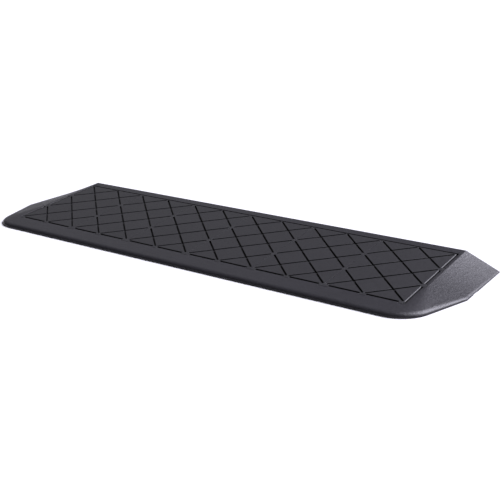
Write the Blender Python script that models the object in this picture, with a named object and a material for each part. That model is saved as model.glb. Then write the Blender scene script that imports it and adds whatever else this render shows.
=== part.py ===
"""Low rubber threshold ramp for wheelchairs: a moulded tray base, six grooved tread tiles,
the screws that hold them from below, and grip pads under the base.

Frame: X along the ramp, Y from the low front lip to the high back face, Z up, ground at Z = 0.
"""
import math

import bmesh
import bpy
from mathutils import Matrix, Vector

# Driving dimensions, in metres
LENGTH = 1.048            # across the tips of the side wings
DEPTH = 0.298             # front lip to back face
BACK_HEIGHT = 0.030       # top of the back face above the ground
LIP_HEIGHT = 0.007        # top of the front lip above the ground
DIAMOND = 0.075           # diagonal of one diamond of the tread
TILE_COUNT = 6
TILE_COLUMNS = 2          # diamonds across one tile
TILE_ROWS = 3             # diamonds from the front of a tile to its back
FRONT_BAND = 0.0495       # plain band from the front lip to the tread
RIDGE_BEYOND_TREAD = 0.0077
FIT_GAP = 0.0003          # play between pieces that touch
GROUND_GAP = 0.0005       # the base hangs this far above the ground, on its pads

# Outline of the base in plan
KINK_Y = -0.0112          # where the side edge turns in towards the front
FRONT_CORNER_X = 0.4792   # where the front edge and the slanted side edge would meet
CORNER_RADIUS = 0.065
KINK_EDGE_HEIGHT = 0.0040
TIP_EDGE_HEIGHT = 0.0018
NOSE_SHARE = 0.85         # rounded share of the outer edge's height
NOSE_RUN = 1.8            # how far the rounding runs inwards, in shares of its height

# Tiles and the tray they sit in
TILE_THICKNESS = 0.005
TRAY_FLOOR = 0.003
BORDER_GROOVE = 0.003     # gap between the tile edges and the tray walls
FRONT_INSET = 0.0015      # the tiles' front wall stands this far inside the tread, between the lugs
SEAM_GAP = 0.0006         # butt joint between two tiles
GROOVE_WIDTH = 0.0036
GROOVE_DEPTH = 0.0030
DEEPER_GROOVE = 0.0031    # the second set, so that no two groove floors share a plane
GROOVE_STOP_SEAM = 0.005  # grooves stop this far from a tile's sides
GROOVE_STOP_FRONT = 0.0030
LUG_REACH = 0.003         # how far a lug keys into the tray wall
LUG_WIDTH = 0.012         # lugs in line with the points of the diamonds
END_LUG_WIDTH = 0.009     # half lugs at the ends of a tile's front edge
END_BEVEL_WIDTH = 0.0011  # bevel along the two ends of the tread, between the lugs
END_BEVEL_DEPTH = 0.0010

# Fixings, two to a tile
SCREW_ROWS = (0.5, 2.5)   # in diamonds from the front of the tile, in the middle of a whole diamond
BOSS_RADIUS = 0.0060
INSERT_RADIUS = 0.0034
INSERT_BORE = 0.0023
INSERT_LENGTH = 0.0050
SCREW_RADIUS = 0.0020
SCREW_LENGTH = 0.0050
SCREW_HEAD_RADIUS = 0.0040
SCREW_HEAD_HEIGHT = 0.0018
SOCKET_RADIUS = 0.0014
SOCKET_DEPTH = 0.0010
WASHER_RADIUS = 0.0090
WASHER_THICKNESS = 0.0008
POCKET_RADIUS = 0.0110
BOSS_SIDES = 12
FIXING_SIDES = 12

# Underside
PAD_LENGTH = 0.060
PAD_WIDTH = 0.014
PAD_RECESS = 0.0015
PAD_COUNT = 5
PAD_FRONT_Y = -0.126
PAD_BACK_Y = 0.1355
CHANNEL_Y = 0.0275        # middle of the channel for cables and drainage
CHANNEL_WIDTH = 0.022
CHANNEL_HEIGHT = 0.0070
MOUTH_HEIGHT = 0.0013
FRONT_RELIEF = (0.100, 0.050, -0.028, 0.0040)  # length, width, middle in Y, height
BACK_RELIEF = (0.100, 0.032, 0.063, 0.0105)

SLOPE = math.atan2(BACK_HEIGHT - LIP_HEIGHT, DEPTH)
FRONT_Y = -DEPTH / 2
BACK_Y = DEPTH / 2
HALF_LENGTH = LENGTH / 2
TREAD_WIDTH = TILE_COUNT * TILE_COLUMNS * DIAMOND
TREAD_DEPTH = TILE_ROWS * DIAMOND
TILE_WIDTH = TILE_COLUMNS * DIAMOND
RIDGE_X = TREAD_WIDTH / 2 + RIDGE_BEYOND_TREAD
TREAD_Y = FRONT_Y + FRONT_BAND
TREAD_Z = LIP_HEIGHT + FRONT_BAND * math.tan(SLOPE)
# The tread's own frame: X along the ramp, Y up the slope, Z out of the tread, origin mid front edge
TREAD_FRAME = Matrix.Translation((0, TREAD_Y, TREAD_Z)) @ Matrix.Rotation(SLOPE, 4, "X")
SEAT_Z = -TILE_THICKNESS - FIT_GAP       # tray floor in the tread's frame
FLOOR_BOTTOM_Z = SEAT_Z - TRAY_FLOOR


def start_clean():
    for old in list(bpy.data.objects):
        bpy.data.objects.remove(old, do_unlink=True)


def make_collection(name):
    collection = bpy.data.collections.new(name)
    bpy.context.scene.collection.children.link(collection)
    return collection


def make_material(name, colour, roughness, metallic=0.0):
    material = bpy.data.materials.new(name)
    material.use_nodes = True
    shader = material.node_tree.nodes["Principled BSDF"]
    shader.inputs["Base Color"].default_value = (*colour, 1.0)
    shader.inputs["Roughness"].default_value = roughness
    shader.inputs["Metallic"].default_value = metallic
    return material


def make_object(name, bm, collection, material=None):
    mesh = bpy.data.meshes.new(name)
    bm.to_mesh(mesh)
    bm.free()
    thing = bpy.data.objects.new(name, mesh)
    collection.objects.link(thing)
    if material:
        mesh.materials.append(material)
    return thing


def add_box(bm, size, middle, turn=0.0):
    """Adds a box of this size at this middle, turned about Z."""
    place = Matrix.Translation(middle) @ Matrix.Rotation(turn, 4, "Z")
    bmesh.ops.create_cube(bm, size=1.0, matrix=place @ Matrix.Diagonal((*size, 1.0)))


def add_post(bm, radius, bottom, top, x, y, sides=BOSS_SIDES):
    """Adds an upright round post between two heights."""
    place = Matrix.Translation((x, y, (bottom + top) / 2))
    bmesh.ops.create_cone(
        bm, cap_ends=True, segments=sides, radius1=radius, radius2=radius,
        depth=top - bottom, matrix=place,
    )


def make_cutter(name, bm, frame=None):
    cutter = make_object(name, bm, cutters)
    if frame:
        cutter.data.transform(frame)
    cutter.hide_render = True
    cutter.display_type = "WIRE"
    return cutter


def cut(thing, cutter, operation="DIFFERENCE"):
    modifier = thing.modifiers.new(cutter.name, "BOOLEAN")
    modifier.operation = operation
    modifier.solver = "MANIFOLD"     # the exact solver leaves open edges on these long slanted plates
    modifier.object = cutter


# Outline of the base. The side edge runs straight forward from the tip to the kink, then slants in to
# the front corner, which is an arc.
SLANT = Vector((HALF_LENGTH - FRONT_CORNER_X, KINK_Y - FRONT_Y)).normalized()
CORNER_TURN = math.atan2(SLANT.y, SLANT.x)
CORNER_RUN = CORNER_RADIUS * math.tan(CORNER_TURN / 2)
ARC_START_X = FRONT_CORNER_X - CORNER_RUN
ARC_CENTRE = Vector((ARC_START_X, FRONT_Y + CORNER_RADIUS))
ARC_END_X = ARC_START_X + CORNER_RADIUS * math.sin(CORNER_TURN)


def front_edge(x):
    """Y of the outline's front side at a distance x from the middle of the ramp."""
    x = abs(x)
    if x <= ARC_START_X:
        return FRONT_Y
    if x < ARC_END_X:
        return ARC_CENTRE.y - math.sqrt(CORNER_RADIUS**2 - (x - ARC_START_X) ** 2)
    return KINK_Y - (HALF_LENGTH - x) * SLANT.y / SLANT.x


def edge_turn(x):
    """How far the outline's front side has turned towards the back at a distance x from the middle."""
    x = abs(x)
    if x >= ARC_END_X:
        return CORNER_TURN
    return math.asin(max(0.0, x - ARC_START_X) / CORNER_RADIUS)


def side_edge(y):
    """Half width of the outline at y."""
    if y >= KINK_Y:
        return HALF_LENGTH
    if y >= front_edge(ARC_END_X):
        return HALF_LENGTH - (KINK_Y - y) * SLANT.x / SLANT.y
    return ARC_START_X + math.sqrt(max(0.0, CORNER_RADIUS**2 - (ARC_CENTRE.y - y) ** 2))


def edge_distance(x, y):
    """Distance in plan from a point of the base to its front and side edges."""
    x = abs(x)
    from_slant = (HALF_LENGTH - x) * SLANT.y - (KINK_Y - y) * SLANT.x
    spot = Vector((x, y)) - ARC_CENTRE
    in_arc = spot.x > 0 and math.atan2(spot.x, -spot.y) < CORNER_TURN and spot.y < 0
    if in_arc:
        return max(0.0, CORNER_RADIUS - spot.length)
    return max(0.0, min(y - FRONT_Y, HALF_LENGTH - x, from_slant))


def edge_height(y):
    """Height of the outer edge: the full lip in front, thinning to the tip of the wing."""
    if y < KINK_Y:
        share = (y - FRONT_Y) / (KINK_Y - FRONT_Y)
        return LIP_HEIGHT + (KINK_EDGE_HEIGHT - LIP_HEIGHT) * share
    share = (y - KINK_Y) / (BACK_Y - KINK_Y)
    return KINK_EDGE_HEIGHT + (TIP_EDGE_HEIGHT - KINK_EDGE_HEIGHT) * share


def nose_height(y):
    """Height of the rounding at the top of the outer edge."""
    return NOSE_SHARE * (edge_height(y) - GROUND_GAP)


def top_height(x, y):
    """Top of the base: the slope in the middle, straight rulings down to the edge on the wings."""
    height = LIP_HEIGHT + (y - FRONT_Y) * math.tan(SLOPE)
    side = side_edge(y)
    if abs(x) > RIDGE_X and side > RIDGE_X:
        share = min(1.0, (abs(x) - RIDGE_X) / (side - RIDGE_X))
        height += (edge_height(y) - height) * share
    nose = nose_height(y)
    share = edge_distance(x, y) / (NOSE_RUN * nose)
    if share < 1:
        height -= nose * (1 - math.sqrt(1 - (1 - share) ** 2))
    return height


NOSE_STEPS = (0.0, 0.06, 0.25, 0.55, 1.0)     # steps of the rounding, in shares of its run
PROFILE_STEPS = 7


def section_points(x):
    """One cross section of the base at x, from the back of its underside, round the lip, to the top."""
    start = front_edge(x)
    first = NOSE_RUN * nose_height(start) / math.cos(edge_turn(x))
    rows = [start + first * step for step in NOSE_STEPS]
    run = BACK_Y - rows[-1]
    rows += [rows[-1] + run * step / PROFILE_STEPS for step in range(1, PROFILE_STEPS + 1)]
    bottom = [(BACK_Y, GROUND_GAP), (start, GROUND_GAP)]
    return [Vector((x, y, z)) for y, z in bottom] + [Vector((x, y, top_height(x, y))) for y in rows]


def section_places():
    """X of the cross sections, close together where the outline or the top bends."""
    right = [0.0, ARC_START_X]
    right += [ARC_START_X + CORNER_RADIUS * math.sin(CORNER_TURN * step / 6) for step in range(1, 7)]
    right += [RIDGE_X]
    nose_run = NOSE_RUN * nose_height(KINK_Y)
    right += [ARC_END_X + (HALF_LENGTH - nose_run - ARC_END_X) * step for step in (0.5, 1.0)]
    right += [HALF_LENGTH - nose_run * step for step in NOSE_STEPS[:-1]]
    right = sorted(set(round(x, 6) for x in right))
    return [-x for x in reversed(right[1:])] + right


def make_base_blank():
    """The outer form of the base, lofted through its cross sections."""
    bm = bmesh.new()
    rings = [[bm.verts.new(point) for point in section_points(x)] for x in section_places()]
    for near, far in zip(rings, rings[1:]):
        for here in range(len(near)):
            after = (here + 1) % len(near)
            bm.faces.new((near[here], far[here], far[after], near[after]))
    bm.faces.new(rings[0])
    bm.faces.new(list(reversed(rings[-1])))
    bmesh.ops.triangulate(bm, faces=bm.faces)
    bmesh.ops.recalc_face_normals(bm, faces=bm.faces)
    return bm


def make_plate(name, outline, thickness, middle_z, collection, material=None):
    """A flat plate with this outline, square to the tread."""
    curve = bpy.data.curves.new(name, "CURVE")
    curve.dimensions = "2D"
    curve.fill_mode = "BOTH"
    curve.extrude = thickness / 2
    spline = curve.splines.new("POLY")
    spline.points.add(len(outline) - 1)
    for point, (x, y) in zip(spline.points, outline):
        point.co = (x, y, 0, 1)
    spline.use_cyclic_u = True
    drawn = bpy.data.objects.new(name + "_outline", curve)
    collection.objects.link(drawn)
    evaluated = drawn.evaluated_get(bpy.context.evaluated_depsgraph_get())
    mesh = bpy.data.meshes.new_from_object(evaluated)
    bpy.data.objects.remove(drawn, do_unlink=True)
    bm = bmesh.new()
    bm.from_mesh(mesh)
    bpy.data.meshes.remove(mesh)
    bmesh.ops.remove_doubles(bm, verts=bm.verts, dist=0.00001)
    bmesh.ops.recalc_face_normals(bm, faces=bm.faces)
    place = TREAD_FRAME @ Matrix.Translation((0, 0, middle_z))
    bmesh.ops.transform(bm, matrix=place, verts=bm.verts)
    return make_object(name, bm, collection, material)


def teeth(spans, wall, tip):
    """Corners of a straight edge at wall with teeth out to tip, for each span along it."""
    corners = []
    for start, end in spans:
        corners += [(start, wall), (start, tip), (end, tip), (end, wall)]
    return corners


def side_spans(grow=0.0):
    """Where the lugs sit along the two ends of the tread, from front to back."""
    half = LUG_WIDTH / 2 + grow
    return [(row * DIAMOND - half, row * DIAMOND + half) for row in range(1, TILE_ROWS)]


def tile_outline(tile):
    """A tile in plan: lugs along its front edge, and along its side where it ends the tread."""
    left = tile * TILE_WIDTH - TREAD_WIDTH / 2 + SEAM_GAP / 2
    right = left + TILE_WIDTH - SEAM_GAP
    middle = (left + right) / 2
    reach = BORDER_GROOVE + LUG_REACH
    spans = [
        (left, left + END_LUG_WIDTH),
        (middle - LUG_WIDTH / 2, middle + LUG_WIDTH / 2),
        (right - END_LUG_WIDTH, right),
    ]
    outline = teeth(spans, FRONT_INSET, -reach)
    if tile == TILE_COUNT - 1:
        outline += [(x, y) for y, x in teeth(side_spans(), right, right + reach)]
    outline += [(right, TREAD_DEPTH), (left, TREAD_DEPTH)]
    if tile == 0:
        outline += [(x, y) for y, x in reversed(teeth(side_spans(), left, left - reach))]
    return outline


def tray_outline():
    """The tray in plan: the tread with the border groove round it, and a keyway for each lug."""
    side = TREAD_WIDTH / 2 + BORDER_GROOVE
    deep = BORDER_GROOVE + LUG_REACH + FIT_GAP
    spans = []
    for tile in range(TILE_COUNT + 1):
        seam = tile * TILE_WIDTH - TREAD_WIDTH / 2
        end_lug = SEAM_GAP / 2 + END_LUG_WIDTH + FIT_GAP
        from_left = FIT_GAP if tile == 0 else end_lug
        to_right = FIT_GAP if tile == TILE_COUNT else end_lug
        spans.append((seam - from_left, seam + to_right))
        if tile < TILE_COUNT:
            middle = seam + TILE_WIDTH / 2
            half = LUG_WIDTH / 2 + FIT_GAP
            spans.append((middle - half, middle + half))
    outline = [(-side, -BORDER_GROOVE)]
    outline += teeth(spans, -BORDER_GROOVE, -deep)
    outline += [(side, -BORDER_GROOVE)]
    keyways = side_spans(FIT_GAP)
    tip = side + LUG_REACH + FIT_GAP
    outline += [(x, y) for y, x in teeth(keyways, side, tip)]
    outline += [(side, TREAD_DEPTH + BORDER_GROOVE), (-side, TREAD_DEPTH + BORDER_GROOVE)]
    outline += [(x, y) for y, x in reversed(teeth(keyways, -side, -tip))]
    return outline


def tile_screws(tile):
    """X and Y of one tile's screws, in the tread's frame."""
    middle = (tile + 0.5) * TILE_WIDTH - TREAD_WIDTH / 2
    return [(middle, row * DIAMOND) for row in SCREW_ROWS]


def screw_places():
    return [place for tile in range(TILE_COUNT) for place in tile_screws(tile)]


def make_tray_cutter():
    cutter = make_plate("tray_cutter", tray_outline(), 2 * TILE_THICKNESS, SEAT_Z + TILE_THICKNESS, cutters)
    cutter.hide_render = True
    cutter.display_type = "WIRE"
    return cutter


def make_boss_hole_cutter():
    bm = bmesh.new()
    for x, y in screw_places():
        add_post(bm, BOSS_RADIUS + FIT_GAP, FLOOR_BOTTOM_Z - TRAY_FLOOR, 0, x, y)
    return make_cutter("boss_hole_cutter", bm, TREAD_FRAME)


def make_screw_pocket_cutter():
    """Pockets in the underside that give a screwdriver room up to the tray floor."""
    bm = bmesh.new()
    for x, y in screw_places():
        add_post(bm, POCKET_RADIUS, FLOOR_BOTTOM_Z - BACK_HEIGHT, FLOOR_BOTTOM_Z, x, y)
    return make_cutter("screw_pocket_cutter", bm, TREAD_FRAME)


def make_underside_cutter():
    """The cable channel with its two low mouths, the relief pockets and the pad recesses."""
    bm = bmesh.new()
    inner = 2 * RIDGE_X
    add_box(bm, (inner, CHANNEL_WIDTH, 2 * CHANNEL_HEIGHT), (0, CHANNEL_Y, 0))
    for length, width, middle_y, height in (FRONT_RELIEF, BACK_RELIEF):
        for tile in range(TILE_COUNT):
            middle = (tile + 0.5) * TILE_WIDTH - TREAD_WIDTH / 2
            add_box(bm, (length, width, 2 * height), (middle, middle_y, 0))
    for x, y in pad_places():
        size = (PAD_LENGTH + 2 * FIT_GAP, PAD_WIDTH + 2 * FIT_GAP, 2 * PAD_RECESS)
        add_box(bm, size, (x, y, GROUND_GAP))
    return make_cutter("underside_cutter", bm)


def make_mouth_cutter():
    """The low end of the channel on each side, out through the thin edge of the wing."""
    bm = bmesh.new()
    start = RIDGE_X - CHANNEL_HEIGHT
    run = HALF_LENGTH + CHANNEL_HEIGHT - start
    for side in (-1, 1):
        size = (run, 0.98 * CHANNEL_WIDTH, 2 * MOUTH_HEIGHT)
        add_box(bm, size, (side * (start + run / 2), CHANNEL_Y, GROUND_GAP))
    return make_cutter("mouth_cutter", bm)


def make_base(collection, material):
    base = make_object("ramp_base", make_base_blank(), collection, material)
    cut(base, make_tray_cutter())
    cut(base, make_boss_hole_cutter())
    cut(base, make_screw_pocket_cutter())
    cut(base, make_underside_cutter())
    cut(base, make_mouth_cutter())
    return base


def groove_ends():
    """Both ends of each groove of a tile, in the tile's plan: straight lines at 45 degrees through the
    points of the diamonds, stopped short of the tile's front and sides."""
    left = GROOVE_STOP_SEAM
    right = TILE_WIDTH - GROOVE_STOP_SEAM
    front = GROOVE_STOP_FRONT
    back = TREAD_DEPTH - GROOVE_STOP_FRONT
    ends = []
    for step in range(1, TILE_COLUMNS + TILE_ROWS):
        total = step * DIAMOND          # x + y along a groove that leans left
        low = max(front, total - right)
        high = min(back, total - left)
        ends.append(((total - low, low), (total - high, high)))
    for step in range(1 - TILE_ROWS, TILE_COLUMNS):
        offset = step * DIAMOND         # x - y along a groove that leans right
        low = max(front, left - offset)
        high = min(back, right - offset)
        ends.append(((offset + low, low), (offset + high, high)))
    return ends


def make_groove_cutters(tile, left):
    """Two cutters, because grooves that cross are cut one way and then the other."""
    ends = groove_ends()
    lean_left = [pair for pair in ends if pair[0][0] > pair[1][0]]
    lean_right = [pair for pair in ends if pair[0][0] < pair[1][0]]
    made = []
    for label, group, depth in (("left", lean_left, GROOVE_DEPTH), ("right", lean_right, DEEPER_GROOVE)):
        bm = bmesh.new()
        for start, end in group:
            run = Vector(end) - Vector(start)
            middle = (Vector(end) + Vector(start)) / 2
            size = (run.length, GROOVE_WIDTH, 2 * depth)
            add_box(bm, size, (left + middle.x, middle.y, 0), math.atan2(run.y, run.x))
        made.append(make_cutter(f"groove_cutter_{label}_{tile + 1}", bm, TREAD_FRAME))
    return made


def make_bevel_cutter(side):
    """Prisms that bevel one end of the tread between its lugs; side is -1 or 1."""
    edge = TREAD_WIDTH / 2 - SEAM_GAP / 2
    over = 0.3              # how far the cutter runs past the bevel, in shares of it
    profile = (
        (edge - (1 + over) * END_BEVEL_WIDTH, over * END_BEVEL_DEPTH),
        (edge + over * END_BEVEL_WIDTH, -(1 + over) * END_BEVEL_DEPTH),
        (edge + over * END_BEVEL_WIDTH, over * END_BEVEL_DEPTH),
    )
    lug_ends = [end for span in side_spans(-FIT_GAP) for end in span]
    stops = [2 * FRONT_INSET] + lug_ends + [TREAD_DEPTH + FIT_GAP]
    bm = bmesh.new()
    for start, end in zip(stops[::2], stops[1::2]):
        near = [bm.verts.new((side * x, start, z)) for x, z in profile]
        far = [bm.verts.new((side * x, end, z)) for x, z in profile]
        bm.faces.new(near)
        bm.faces.new(list(reversed(far)))
        for here in range(3):
            after = (here + 1) % 3
            bm.faces.new((near[after], near[here], far[here], far[after]))
    bmesh.ops.recalc_face_normals(bm, faces=bm.faces)
    return make_cutter("bevel_cutter_left" if side < 0 else "bevel_cutter_right", bm, TREAD_FRAME)


def make_tile(tile, collection, material):
    name = f"tread_tile_{tile + 1}"
    middle_z = -TILE_THICKNESS / 2
    tread_tile = make_plate(name, tile_outline(tile), TILE_THICKNESS, middle_z, collection, material)
    overlap = 0.0005        # how far the bosses run into the tile they are moulded with
    bm = bmesh.new()
    for x, y in tile_screws(tile):
        add_post(bm, BOSS_RADIUS, FLOOR_BOTTOM_Z, overlap - TILE_THICKNESS, x, y)
    cut(tread_tile, make_cutter(f"bosses_{tile + 1}", bm, TREAD_FRAME), "UNION")
    bm = bmesh.new()
    hole_top = FLOOR_BOTTOM_Z + INSERT_LENGTH + 2 * FIT_GAP
    for x, y in tile_screws(tile):
        add_post(bm, INSERT_RADIUS + FIT_GAP, FLOOR_BOTTOM_Z - overlap, hole_top, x, y)
    cut(tread_tile, make_cutter(f"insert_holes_{tile + 1}", bm, TREAD_FRAME))
    left = tile * TILE_WIDTH - TREAD_WIDTH / 2
    for cutter in make_groove_cutters(tile, left):
        cut(tread_tile, cutter)
    if tile == 0:
        cut(tread_tile, make_bevel_cutter(-1))
    if tile == TILE_COUNT - 1:
        cut(tread_tile, make_bevel_cutter(1))
    return tread_tile


def spin_profile(name, profile):
    """A mesh turned about Z from a profile of (radius, height) points."""
    bm = bmesh.new()
    points = [bm.verts.new((radius, 0, height)) for radius, height in profile]
    for near, far in zip(points, points[1:]):
        bm.edges.new((near, far))
    bmesh.ops.spin(
        bm, geom=bm.verts[:] + bm.edges[:], axis=(0, 0, 1), cent=(0, 0, 0),
        angle=2 * math.pi, steps=FIXING_SIDES, use_merge=True, use_duplicate=False,
    )
    bmesh.ops.remove_doubles(bm, verts=bm.verts, dist=0.00001)
    bmesh.ops.recalc_face_normals(bm, faces=bm.faces)
    mesh = bpy.data.meshes.new(name)
    bm.to_mesh(mesh)
    bm.free()
    return mesh


def repeat_at_screws(name, profile, collection, material):
    """The same turned piece at every screw, square to the tread."""
    mesh = spin_profile(name, profile)
    mesh.materials.append(material)
    for number, (x, y) in enumerate(screw_places()):
        piece = bpy.data.objects.new(f"{name}_{number + 1}", mesh)
        piece.matrix_world = TREAD_FRAME @ Matrix.Translation((x, y, 0))
        collection.objects.link(piece)


def ring_profile(inner, outer, bottom, top):
    return [(inner, top), (outer, top), (outer, bottom), (inner, bottom), (inner, top)]


def make_inserts(collection, material):
    bottom = FLOOR_BOTTOM_Z + FIT_GAP
    profile = ring_profile(INSERT_BORE, INSERT_RADIUS, bottom, bottom + INSERT_LENGTH)
    repeat_at_screws("tile_insert", profile, collection, material)


def make_washers(collection, material):
    top = FLOOR_BOTTOM_Z - FIT_GAP
    profile = ring_profile(INSERT_BORE, WASHER_RADIUS, top - WASHER_THICKNESS, top)
    repeat_at_screws("tile_washer", profile, collection, material)


def make_screws(collection, material):
    """Low-head socket screws, heads down."""
    head_top = FLOOR_BOTTOM_Z - 2 * FIT_GAP - WASHER_THICKNESS
    head_bottom = head_top - SCREW_HEAD_HEIGHT
    profile = [
        (0.0, head_top + SCREW_LENGTH),
        (SCREW_RADIUS, head_top + SCREW_LENGTH),
        (SCREW_RADIUS, head_top),
        (SCREW_HEAD_RADIUS, head_top),
        (SCREW_HEAD_RADIUS, head_bottom),
        (SOCKET_RADIUS, head_bottom),
        (SOCKET_RADIUS, head_bottom + SOCKET_DEPTH),
        (0.0, head_bottom + SOCKET_DEPTH),
    ]
    repeat_at_screws("tile_screw", profile, collection, material)


def pad_places():
    """X and Y of the grip pads, under the solid ribs that line up with the tile joints."""
    places = []
    for y in (PAD_FRONT_Y, PAD_BACK_Y):
        for pad in range(PAD_COUNT):
            places.append(((pad - (PAD_COUNT - 1) / 2) * TILE_WIDTH, y))
    return places


def make_pads(collection, material):
    height = PAD_RECESS - FIT_GAP + GROUND_GAP
    for number, (x, y) in enumerate(pad_places()):
        row = "front" if y < 0 else "back"
        bm = bmesh.new()
        add_box(bm, (PAD_LENGTH, PAD_WIDTH, height), (x, y, height / 2))
        make_object(f"grip_pad_{row}_{number % PAD_COUNT + 1}", bm, collection, material)


def make_ramp(collection):
    base_rubber = make_material("base_rubber", (0.055, 0.054, 0.062), 0.62)
    tread_rubber = make_material("tread_rubber", (0.050, 0.049, 0.056), 0.70)
    pad_rubber = make_material("pad_rubber", (0.030, 0.030, 0.032), 0.85)
    screw_steel = make_material("screw_steel", (0.55, 0.55, 0.56), 0.35, 1.0)
    insert_brass = make_material("insert_brass", (0.72, 0.53, 0.26), 0.30, 1.0)
    make_base(collection, base_rubber)
    for tile in range(TILE_COUNT):
        make_tile(tile, collection, tread_rubber)
    make_inserts(collection, insert_brass)
    make_washers(collection, screw_steel)
    make_screws(collection, screw_steel)
    make_pads(collection, pad_rubber)


start_clean()
ramp = make_collection("threshold_ramp")
cutters = make_collection("cutters")
make_ramp(ramp)
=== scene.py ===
"""Visual model of a low rubber threshold ramp for wheelchairs: a moulded tray base, six grooved tread
tiles, their screws, washers and inserts, and the grip pads under the base."""
import math

import bmesh
import bpy
from mathutils import Matrix, Vector


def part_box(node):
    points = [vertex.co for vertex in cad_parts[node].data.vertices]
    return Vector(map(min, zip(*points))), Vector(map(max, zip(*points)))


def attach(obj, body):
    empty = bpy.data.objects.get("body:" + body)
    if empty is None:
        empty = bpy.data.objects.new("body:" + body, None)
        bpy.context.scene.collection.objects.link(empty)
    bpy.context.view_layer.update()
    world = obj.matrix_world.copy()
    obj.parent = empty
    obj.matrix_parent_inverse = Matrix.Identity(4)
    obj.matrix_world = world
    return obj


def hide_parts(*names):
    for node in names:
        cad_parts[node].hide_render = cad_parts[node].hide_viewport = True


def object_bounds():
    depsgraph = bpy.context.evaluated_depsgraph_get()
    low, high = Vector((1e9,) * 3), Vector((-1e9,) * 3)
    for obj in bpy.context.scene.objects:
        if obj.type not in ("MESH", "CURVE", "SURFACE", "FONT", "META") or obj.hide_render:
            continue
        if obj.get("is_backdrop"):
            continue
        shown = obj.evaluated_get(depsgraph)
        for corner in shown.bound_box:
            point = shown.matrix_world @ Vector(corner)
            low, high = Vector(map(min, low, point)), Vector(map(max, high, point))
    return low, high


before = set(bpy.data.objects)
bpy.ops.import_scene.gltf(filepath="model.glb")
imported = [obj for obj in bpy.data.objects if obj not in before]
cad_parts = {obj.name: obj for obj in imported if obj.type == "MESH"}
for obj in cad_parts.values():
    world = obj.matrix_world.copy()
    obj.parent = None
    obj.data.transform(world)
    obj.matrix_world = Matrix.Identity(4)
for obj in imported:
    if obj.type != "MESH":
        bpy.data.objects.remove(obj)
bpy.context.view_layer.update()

# ---- Ramp base --------------------------------------------------------------------------------------
# One moulding of charcoal rubber, compression moulded upside down. It has a rounded lip in front, a wing
# that slopes away on each side, a tray for the tread tiles, and a channel, pockets and pad recesses below.

BASE_LOW, BASE_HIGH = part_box("ramp_base")
GROUND_GAP = BASE_LOW.z
HALF_LENGTH = BASE_HIGH.x
FRONT_Y = BASE_LOW.y
BACK_Y = BASE_HIGH.y
BACK_HEIGHT = BASE_HIGH.z
LIP_HEIGHT = 0.007
SLOPE = math.atan2(BACK_HEIGHT - LIP_HEIGHT, BACK_Y - FRONT_Y)

DIAMOND = 0.075
TILE_COUNT = 6
TILE_COLUMNS = 2
TILE_ROWS = 3
TILE_WIDTH = TILE_COLUMNS * DIAMOND
TREAD_WIDTH = TILE_COUNT * TILE_WIDTH
TREAD_DEPTH = TILE_ROWS * DIAMOND
FRONT_BAND = 0.0495
TREAD_Y = FRONT_Y + FRONT_BAND
TREAD_Z = LIP_HEIGHT + FRONT_BAND * math.tan(SLOPE)
# The tread's own frame: X along the ramp, Y up the slope, Z out of the tread, from its middle front edge
TREAD_FRAME = Matrix.Translation((0, TREAD_Y, TREAD_Z)) @ Matrix.Rotation(SLOPE, 4, "X")

RIDGE_X = TREAD_WIDTH / 2 + 0.0077
KINK_Y = -0.0112
FRONT_CORNER_X = 0.4792
CORNER_RADIUS = 0.065
KINK_EDGE_HEIGHT = 0.0040
TIP_EDGE_HEIGHT = 0.0018
NOSE_SHARE = 0.85           # rounded share of the outer edge's height
NOSE_RUN = 1.8              # how far the rounding runs inwards, in shares of its height
BACK_ARRIS = 0.0009
CRISP_CREASE = 0.0008       # half width of the bend at the top of the wing, at the back
SOFT_CREASE = 0.016         # the same beside the front band, where the bend fades out

FIT_GAP = 0.0003
TILE_THICKNESS = 0.005
TRAY_FLOOR = 0.003
SEAT_Z = -TILE_THICKNESS - FIT_GAP
FLOOR_BOTTOM_Z = SEAT_Z - TRAY_FLOOR
BORDER_GROOVE = 0.003
FRONT_INSET = 0.0015
SEAM_GAP = 0.0006
LUG_REACH = 0.003
LUG_WIDTH = 0.012
END_LUG_WIDTH = 0.009
BOSS_RADIUS = 0.0060

SLANT = Vector((HALF_LENGTH - FRONT_CORNER_X, KINK_Y - FRONT_Y)).normalized()
CORNER_TURN = math.atan2(SLANT.y, SLANT.x)
ARC_START_X = FRONT_CORNER_X - CORNER_RADIUS * math.tan(CORNER_TURN / 2)
ARC_CENTRE = Vector((ARC_START_X, FRONT_Y + CORNER_RADIUS))
ARC_END_X = ARC_START_X + CORNER_RADIUS * math.sin(CORNER_TURN)


def front_edge(x):
    """Y of the outline's front side at a distance x from the middle of the ramp."""
    x = abs(x)
    if x <= ARC_START_X:
        return FRONT_Y
    if x < ARC_END_X:
        return ARC_CENTRE.y - math.sqrt(CORNER_RADIUS**2 - (x - ARC_START_X) ** 2)
    return KINK_Y - (HALF_LENGTH - x) * SLANT.y / SLANT.x


def edge_turn(x):
    """How far the outline's front side has turned towards the back at a distance x from the middle."""
    x = abs(x)
    if x >= ARC_END_X:
        return CORNER_TURN
    return math.asin(max(0.0, x - ARC_START_X) / CORNER_RADIUS)


def side_edge(y):
    """Half width of the outline at y."""
    if y >= KINK_Y:
        return HALF_LENGTH
    if y >= front_edge(ARC_END_X):
        return HALF_LENGTH - (KINK_Y - y) * SLANT.x / SLANT.y
    return ARC_START_X + math.sqrt(max(0.0, CORNER_RADIUS**2 - (ARC_CENTRE.y - y) ** 2))


def edge_distance(x, y):
    """Distance in plan from a point of the base to its front and side edges."""
    x = abs(x)
    from_slant = (HALF_LENGTH - x) * SLANT.y - (KINK_Y - y) * SLANT.x
    spot = Vector((x, y)) - ARC_CENTRE
    if spot.x > 0 and spot.y < 0 and math.atan2(spot.x, -spot.y) < CORNER_TURN:
        return max(0.0, CORNER_RADIUS - spot.length)
    return max(0.0, min(y - FRONT_Y, HALF_LENGTH - x, from_slant))


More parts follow.
